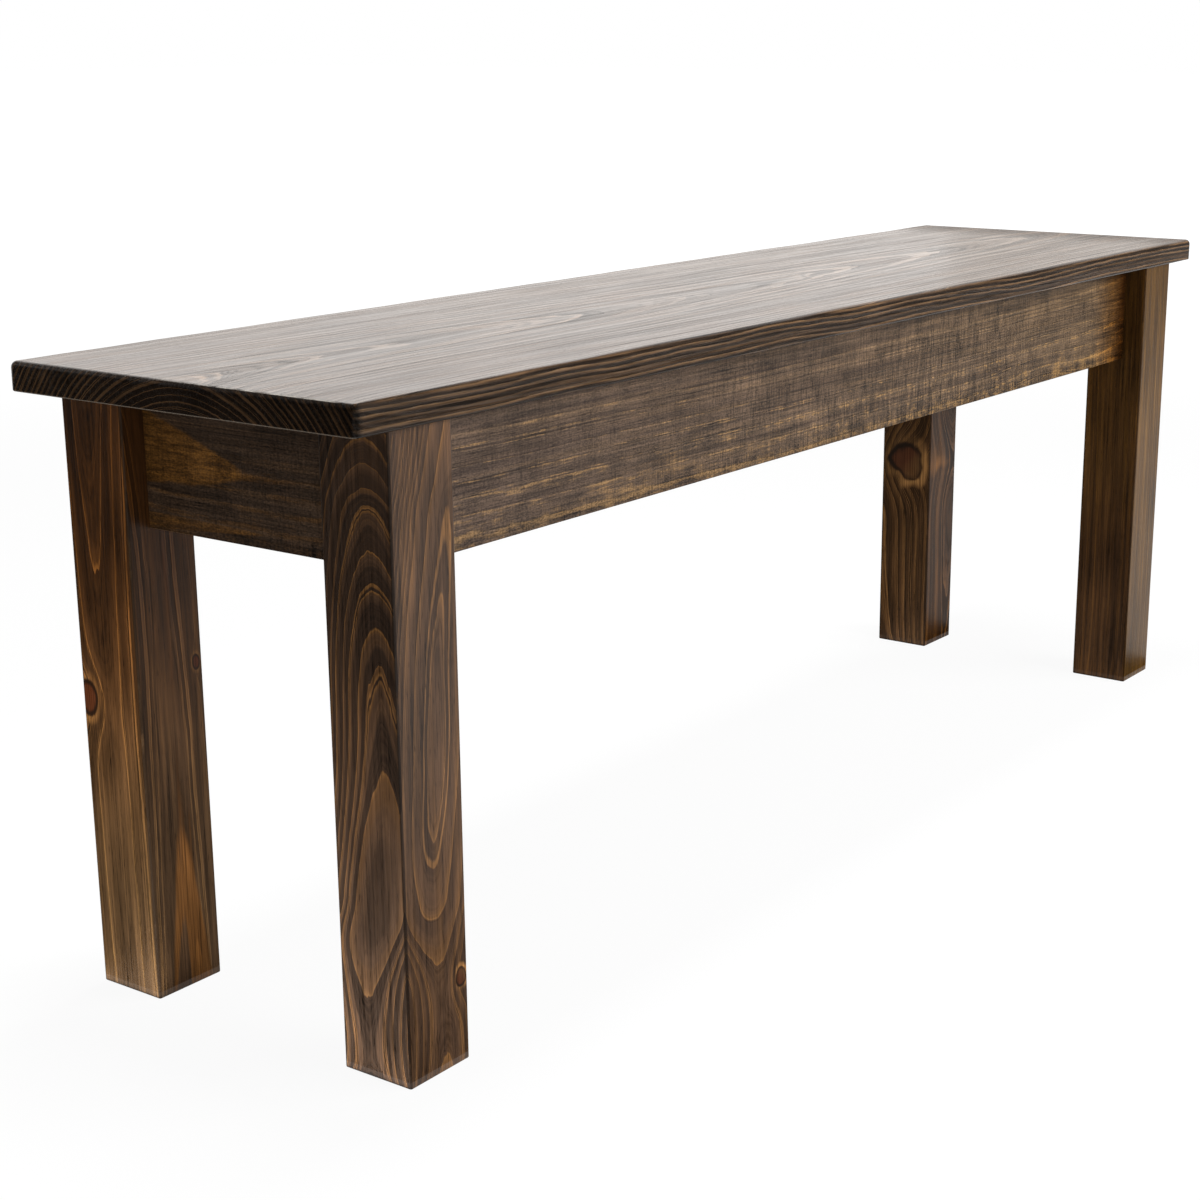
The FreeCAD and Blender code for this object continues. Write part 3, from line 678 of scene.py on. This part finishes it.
def round_edges(piece, wanted, radius, segments):
    pick_edges(piece, wanted)
    bpy.ops.mesh.bevel(offset=radius, segments=segments, affect="EDGES")
    bpy.ops.object.mode_set(mode="OBJECT")


def cut_edges(piece, wanted, cuts):
    pick_edges(piece, wanted)
    bpy.ops.mesh.subdivide(number_cuts=cuts)
    bpy.ops.object.mode_set(mode="OBJECT")


def press_in(piece, depth, sizes, group=""):
    """Presses the surface in by up to depth, in a cloudy pattern of the given sizes along X, Y and Z."""
    clouds = bpy.data.textures.new(piece.name + "_relief", "CLOUDS")
    clouds.noise_scale = 1.0
    clouds.noise_depth = 1
    scale = bpy.data.objects.new(piece.name + "_relief", None)
    bpy.context.scene.collection.objects.link(scale)
    scale.scale = sizes
    bpy.context.view_layer.update()
    relief = piece.modifiers.new("relief", "DISPLACE")
    relief.texture = clouds
    relief.texture_coords = "OBJECT"
    relief.texture_coords_object = scale
    relief.strength = depth
    relief.mid_level = 1.0
    relief.vertex_group = group
    bpy.context.view_layer.objects.active = piece
    bpy.ops.object.modifier_apply(modifier="relief")
    bpy.data.objects.remove(scale)
    bpy.data.textures.remove(clouds)


def smooth(piece, degrees):
    bpy.ops.object.select_all(action="DESELECT")
    piece.select_set(True)
    bpy.context.view_layer.objects.active = piece
    bpy.ops.object.shade_smooth_by_angle(angle=math.radians(degrees))


def seat_in_place(piece, node, material):
    """Gives a finished piece its material, and lets it stand for its node."""
    give(piece, material)
    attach(piece, "root")
    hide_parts(node)


# The seat

def shape_seat():
    """One plank with rounded corners and top edges, sanded by hand, so that no edge is quite straight."""
    low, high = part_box("seat_plank")
    board = add_block("seat_board", low, high)
    near = 1e-5
    round_edges(board, lambda a, b: runs_along(a, b, 2), SEAT_CORNER_ROUND, 5)
    round_edges(board, lambda a, b: min(a.z, b.z) > high[2] - near, SEAT_TOP_ROUND, 6)
    round_edges(board, lambda a, b: max(a.z, b.z) < low[2] + near, SEAT_UNDER_ROUND, 8)
    half = (high[0] - low[0]) / 2
    cut_edges(board, lambda a, b: runs_along(a, b, 0) and (a - b).length > half, SEAT_EDGE_CUTS)
    press_in(board, HAND_SANDING_DEPTH, [HAND_SANDING_LENGTH] * 3)
    smooth(board, 35)
    board.modifiers.new("flat_faces", "WEIGHTED_NORMAL").keep_sharp = True
    bpy.ops.object.modifier_apply(modifier="flat_faces")
    return board


# The aprons

def fastener_axes(node):
    """The point of every fastener in a CAD node, and the direction from its point to its head or far end."""
    bpy.ops.object.select_all(action="DESELECT")
    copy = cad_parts[node].copy()
    copy.data = copy.data.copy()
    bpy.context.scene.collection.objects.link(copy)
    copy.parent = None
    copy.hide_set(False)
    copy.select_set(True)
    bpy.context.view_layer.objects.active = copy
    bpy.ops.object.mode_set(mode="EDIT")
    bpy.ops.mesh.select_all(action="SELECT")
    bpy.ops.mesh.remove_doubles(threshold=1e-5)
    bpy.ops.mesh.separate(type="LOOSE")
    bpy.ops.object.mode_set(mode="OBJECT")
    axes = []
    for part in list(bpy.context.selected_objects):
        points = [vertex.co.copy() for vertex in part.data.vertices]
        middle = sum(points, Vector()) / len(points)
        point = max(points, key=lambda p: (p - middle).length)
        axes.append((point, (middle - point).normalized()))
    bpy.ops.object.delete()
    return axes


def add_rod(name, radius, start, direction, length, sides):
    """A round rod from start along direction."""
    bpy.ops.object.select_all(action="DESELECT")
    turn = direction.to_track_quat("Z", "Y").to_euler()
    middle = start + direction * (length / 2)
    bpy.ops.mesh.primitive_cylinder_add(vertices=sides, radius=radius, depth=length,
                                        location=middle, rotation=turn)
    rod = bpy.context.active_object
    rod.name = name
    bpy.ops.object.transform_apply(location=True, rotation=True, scale=True)
    return rod


def cut_away(piece, tool):
    """Cuts a tool's shape out of a piece."""
    cut = piece.modifiers.new("cut", "BOOLEAN")
    cut.operation = "DIFFERENCE"
    cut.solver = "EXACT"
    cut.object = tool
    bpy.ops.object.select_all(action="DESELECT")
    bpy.context.view_layer.objects.active = piece
    bpy.ops.object.modifier_apply(modifier="cut")
    bpy.data.meshes.remove(tool.data)


def shape_apron(node, along, outward, pockets):
    """A sawn board: saw ticks pressed into its outer face, and pockets drilled inside."""
    low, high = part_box(node)
    board = add_block(node + "_board", low, high)
    near = 1e-5
    bottom_edge = lambda a, b: runs_along(a, b, along) and max(a.z, b.z) < low[2] + near
    round_edges(board, bottom_edge, APRON_EDGE_ROUND, 3)
    cut_edges(board, lambda a, b: runs_along(a, b, along), round((high[along] - low[along]) / SAW_STEP))
    across = 1 - along
    face = high[across] if outward > 0 else low[across]
    on_face = lambda point: abs(point[across] - face) < near
    cut_edges(board, lambda a, b: runs_along(a, b, 2) and on_face(a) and on_face(b), SAW_ROWS)
    group = board.vertex_groups.new(name="sawn_face")
    group.add([v.index for v in board.data.vertices if on_face(v.co)], 1.0, "REPLACE")
    sizes = [SAW_STROKE, SAW_STROKE, SAW_STROKE]
    sizes[along] = SAW_PITCH
    press_in(board, SAW_DEPTH, sizes, "sawn_face")
    for point, back in pockets:
        seat = point + back * SCREW_LENGTHS["seat_screws"]
        if all(low[i] - near < seat[i] < high[i] + near for i in range(3)):
            cut_away(board, add_rod("pocket", POCKET_RADIUS, seat, back, POCKET_REACH, 24))
    smooth(board, 40)
    return board


# Screws and bolts

def model_screw(length):
    """One screw on the Z axis, its point down at the origin: a crowned head with a square socket."""
    head_bottom = Vector((0, 0, length))
    screw = add_rod("screw", HEAD_RADIUS, head_bottom, Vector((0, 0, 1)), HEAD_THICKNESS, 24)
    top = length + HEAD_THICKNESS - 1e-6
    round_edges(screw, lambda a, b: min(a.z, b.z) > top, HEAD_CROWN, 3)
    pick_edges(screw, lambda a, b: max(a.z, b.z) < length + 1e-6)
    bpy.ops.mesh.select_mode(type="FACE")
    bpy.ops.mesh.inset(thickness=HEAD_RADIUS - SCREW_RADIUS)
    bpy.ops.mesh.extrude_region_move(TRANSFORM_OT_translate={"value": (0, 0, SCREW_POINT - length)})
    bpy.ops.mesh.extrude_region_move(TRANSFORM_OT_translate={"value": (0, 0, -SCREW_POINT)})
    bpy.ops.mesh.merge(type="CENTER")
    bpy.ops.object.mode_set(mode="OBJECT")
    side = DRIVE_SIDE / 2
    socket_bottom = length + HEAD_THICKNESS - DRIVE_DEPTH
    cut_away(screw, add_block("socket", (-side, -side, socket_bottom), (side, side, top + 0.001)))
    smooth(screw, 35)
    return screw


def model_bolt():
    """One hanger bolt on the Z axis, its point down at the origin, with a helical thread on its free half."""
    turns = round((BOLT_LENGTH - BOLT_EMBED) / THREAD_PITCH)
    start = Vector((0, 0, BOLT_POINT))
    bolt = add_rod("bolt", BOLT_RADIUS, start, Vector((0, 0, 1)), BOLT_EMBED - BOLT_POINT, 20)
    pick_edges(bolt, lambda a, b: max(a.z, b.z) < BOLT_POINT + 1e-6)
    bpy.ops.mesh.select_mode(type="FACE")
    bpy.ops.mesh.extrude_region_move(TRANSFORM_OT_translate={"value": (0, 0, -BOLT_POINT)})
    bpy.ops.mesh.merge(type="CENTER")
    bpy.ops.object.mode_set(mode="OBJECT")

    core = BOLT_RADIUS - THREAD_DEPTH
    rod_length = BOLT_LENGTH - BOLT_EMBED
    rod = add_rod("core", core, Vector((0, 0, BOLT_EMBED)), Vector((0, 0, 1)), rod_length, 20)
    bpy.ops.object.select_all(action="DESELECT")
    start = Vector((core + THREAD_DEPTH / 2, 0, BOLT_EMBED + THREAD_PITCH / 2))
    bpy.ops.mesh.primitive_plane_add(size=THREAD_DEPTH, location=start, rotation=(math.radians(90), 0, 0))
    ridge = bpy.context.active_object
    bpy.ops.object.transform_apply(location=True, rotation=True, scale=True)
    for vertex in ridge.data.vertices:
        inner = vertex.co.x < start.x
        reach = 0.46 * THREAD_PITCH if inner else 0.1 * THREAD_PITCH
        vertex.co.z = start.z + math.copysign(reach, vertex.co.z - start.z)
        vertex.co.x += -0.0001 if inner else 0.0
    helix = ridge.modifiers.new("thread", "SCREW")
    helix.axis = "Z"
    helix.angle = math.radians(360)
    helix.screw_offset = THREAD_PITCH
    helix.iterations = turns - 1
    helix.steps = 20
    helix.render_steps = 20
    helix.use_merge_vertices = True
    bpy.context.view_layer.objects.active = ridge
    bpy.ops.object.modifier_apply(modifier="thread")
    bpy.ops.object.mode_set(mode="EDIT")
    bpy.ops.mesh.select_all(action="SELECT")
    bpy.ops.mesh.normals_make_consistent(inside=False)
    bpy.ops.object.mode_set(mode="OBJECT")
    join([bolt, rod, ridge])
    smooth(bolt, 35)
    return bolt


def join(parts):
    """Joins parts into the first of them."""
    bpy.ops.object.select_all(action="DESELECT")
    for part in parts:
        part.select_set(True)
    bpy.context.view_layer.objects.active = parts[0]
    bpy.ops.object.join()


def set_fasteners(name, model, axes):
    """Copies of one modelled fastener along every axis, as one piece."""
    copies = []
    for point, back in axes:
        copy = model.copy()
        copy.data = model.data.copy()
        bpy.context.scene.collection.objects.link(copy)
        copy.data.transform(Matrix.Translation(point) @ back.to_track_quat("Z", "Y").to_matrix().to_4x4())
        copies.append(copy)
    bpy.data.meshes.remove(model.data)
    join(copies)
    copies[0].name = name
    return copies[0]


# Every piece gets its finish

def dress_bench():
    for node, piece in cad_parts.items():
        if node.endswith("_leg"):
            give(piece, leg_wood(node))
        elif node.endswith("_block") or node.endswith("_brace"):
            give(piece, bare_wood(node))
        elif node in ("bolt_washers", "bolt_nuts"):
            give(piece, plated_steel(node + "_steel", (0.62, 0.63, 0.65), 0.32))
    seat_in_place(shape_seat(), "seat_plank", seat_wood("seat_plank"))
    pockets = fastener_axes("seat_screws")
    aprons = {
        "front_apron": (0, -1, sawn_wood("front_apron", APRON_STAIN, SAWN_GOLD, 0.7,
                                         hatch=(-350.0, 100.0), pooled_and_shaded=True)),
        "back_apron": (0, 1, sawn_wood("back_apron", APRON_STAIN, SAWN_GOLD, 0.7)),
        # The left end apron, under the seat's overhang, takes the stain and amber darkened with painted
        # shade.
        "left_end_apron": (1, -1, sawn_wood("left_end_apron", SHADED_END_STAIN, SHADED_AMBER, 0.25,
                                            flames=END_FLAMES, hatch=(900.0, 1800.0))),
        "right_end_apron": (1, 1, sawn_wood("right_end_apron", APRON_STAIN, SAWN_GOLD, 0.5)),
    }
    for node, (along, outward, wood) in aprons.items():
        seat_in_place(shape_apron(node, along, outward, pockets), node, wood)
    yellow_zinc = plated_steel("screw_zinc", (0.62, 0.55, 0.38), 0.35)
    for node, length in SCREW_LENGTHS.items():
        screws = set_fasteners(node + "_set", model_screw(length), fastener_axes(node))
        seat_in_place(screws, node, yellow_zinc)
    bolts = set_fasteners("hanger_bolts_set", model_bolt(), fastener_axes("hanger_bolts"))
    seat_in_place(bolts, "hanger_bolts", plated_steel("bolt_zinc", (0.62, 0.63, 0.65), 0.32))


# Floor, light and camera

def white_surface(name, paint, share, glow):
    """A pale surface that the camera, gloss and glass see white, with the shadow kept near the bench."""
    nodes = Nodes(name)
    path = nodes.add("ShaderNodeLightPath").outputs
    seen = nodes.math("MAXIMUM", path["Is Camera Ray"], path["Is Glossy Ray"])
    seen = nodes.math("MAXIMUM", seen, path["Is Transmission Ray"])
    place = nodes.add("ShaderNodeTexCoord").outputs["Object"]
    far = nodes.ramp(nodes.length(place), 1.5, 5.0, share, 1.0)
    dull = nodes.add("ShaderNodeBsdfDiffuse", {"Color": (paint, paint, paint, 1.0)})
    white = nodes.add("ShaderNodeEmission", {"Color": (1, 1, 1, 1), "Strength": glow})
    blend = nodes.add("ShaderNodeMixShader", {0: nodes.math("MULTIPLY", seen, far)})
    nodes.feed(blend.inputs[1], dull.outputs[0])
    nodes.feed(blend.inputs[2], white.outputs[0])
    nodes.add("ShaderNodeOutputMaterial", {"Surface": blend.outputs[0]})
    return nodes.material


def lay_floor():
    bpy.ops.object.select_all(action="DESELECT")
    bpy.ops.mesh.primitive_plane_add(size=60.0)
    floor = bpy.context.active_object
    floor.name = "floor"
    floor.data.materials.append(white_surface("pale_floor", 0.25, 0.82, 1.15))


def place_card(name, place, turn, size, tone, tint=(1.0, 1.0, 1.0)):
    """A grey card out of the camera's sight, that only the gloss of the wood shows."""
    bpy.ops.object.select_all(action="DESELECT")
    bpy.ops.mesh.primitive_plane_add(size=1.0, location=place, rotation=turn)
    card = bpy.context.active_object
    card.name = name
    card.scale = (*size, 1.0)
    card.visible_camera = False
    card.visible_shadow = False
    card.visible_diffuse = False
    nodes = Nodes(name + "_grey")
    paint = nodes.add("ShaderNodeEmission", {"Color": (*tint, 1.0), "Strength": tone})
    nodes.add("ShaderNodeOutputMaterial", {"Surface": paint.outputs[0]})
    card.data.materials.append(nodes.material)


def set_world(ambient):
    world = bpy.data.worlds.new("studio")
    bpy.context.scene.world = world
    world.use_nodes = True
    world.cycles.sampling_method = "NONE"
    tree = world.node_tree
    background = tree.nodes["Background"]
    path = tree.nodes.new("ShaderNodeLightPath").outputs
    first = tree.nodes.new("ShaderNodeMath")
    first.operation = "MAXIMUM"
    second = tree.nodes.new("ShaderNodeMath")
    second.operation = "MAXIMUM"
    strength = tree.nodes.new("ShaderNodeMapRange")
    strength.inputs["To Min"].default_value = ambient
    strength.inputs["To Max"].default_value = 1.0
    tree.links.new(path["Is Camera Ray"], first.inputs[0])
    tree.links.new(path["Is Glossy Ray"], first.inputs[1])
    tree.links.new(first.outputs[0], second.inputs[0])
    tree.links.new(path["Is Transmission Ray"], second.inputs[1])
    tree.links.new(second.outputs[0], strength.inputs["Value"])
    tree.links.new(strength.outputs[0], background.inputs["Strength"])
    background.inputs["Color"].default_value = (1, 1, 1, 1)


def hang_light(name, place, target, size, power, colour=(1, 1, 1)):
    data = bpy.data.lights.new(name, "AREA")
    data.shape = "RECTANGLE"
    data.size, data.size_y = size
    data.energy = power
    data.color = colour
    lamp = bpy.data.objects.new(name, data)
    bpy.context.scene.collection.objects.link(lamp)
    lamp.location = place
    lamp.rotation_euler = (Vector(target) - Vector(place)).to_track_quat("-Z", "Y").to_euler()
    lamp.visible_camera = False
    return lamp


def set_camera():
    data = bpy.data.cameras.new("photo_camera")
    data.sensor_width = 36.0
    data.lens = CAMERA_LENS
    data.shift_x, data.shift_y = CAMERA_SHIFT
    camera = bpy.data.objects.new("photo_camera", data)
    bpy.context.scene.collection.objects.link(camera)
    camera.location = CAMERA_PLACE
    camera.rotation_euler = [math.radians(angle) for angle in CAMERA_TURN]
    bpy.context.scene.camera = camera


def light_studio():
    lay_floor()
    set_world(0.07)
    key = hang_light("front_softbox", (0.7, -2.1, 1.0), (0.0, 0.0, 0.35), (2.4, 1.6), 118.0)
    key.visible_glossy = False
    top = hang_light("top_softbox", (0.0, 0.1, 2.4), (0.0, 0.05, 0.4), (1.0, 0.5), 75.0)
    top.visible_glossy = False
    for name, x, power in (("end_bounce", -0.786, 3.2), ("under_bounce", 0.306, 1.08)):
        bounce = hang_light(name, (x, 0.0, 0.0006), (x, 0.0, 0.4), (0.42, 0.3), power, (1.0, 0.96, 0.9))
        bounce.visible_glossy = False
    upright = math.radians(90)
    place_card("left_card", (-2.2, 0.8, 1.2), (0.0, upright, 0.0), (2.4, 4.6), 0.015)
    place_card("camera_card", (-2.2, -2.2, 1.2), (upright, 0.0, -upright / 2), (3.2, 2.4), 0.05)
    place_card("front_card", (1.2, -3.2, 1.2), (upright, 0.0, 0.0), (5.0, 2.4), 0.15)
    place_card("end_mat", (-0.8, 1.35, 0.005), (0.0, 0.0, 0.0), (2.8, 3.5), 0.015)
    place_card("back_card", (3.0, 3.0, 1.6), (upright, 0.0, 0.0), (6.0, 2.0), 1.30, (1.0, 0.955, 0.92))
    place_card("far_card", (9.0, 3.0, 1.6), (upright, 0.0, 0.0), (6.0, 2.0), 1.05, (1.0, 0.93, 0.87))
    place_card("right_card", (3.5, -1.75, 0.61), (0.0, upright, 0.0), (1.18, 2.9), 0.12)
    place_card("right_high_card", (3.5, -1.75, 2.85), (0.0, upright, 0.0), (3.3, 2.9), 0.08)
    place_card("near_mat", (1.0, -0.62, 0.004), (0.0, 0.0, 0.0), (5.0, 0.94), 1.25)
    place_card("far_mat", (3.0, -3.6, 0.004), (0.0, 0.0, 0.0), (11.0, 5.0), 0.08)
    place_card("ceiling_card", (0.0, 0.5, 4.0), (0.0, 0.0, 0.0), (10.0, 10.0), 0.08)
    set_camera()
    bpy.context.scene.view_settings.view_transform = "Standard"


dress_bench()
light_studio()
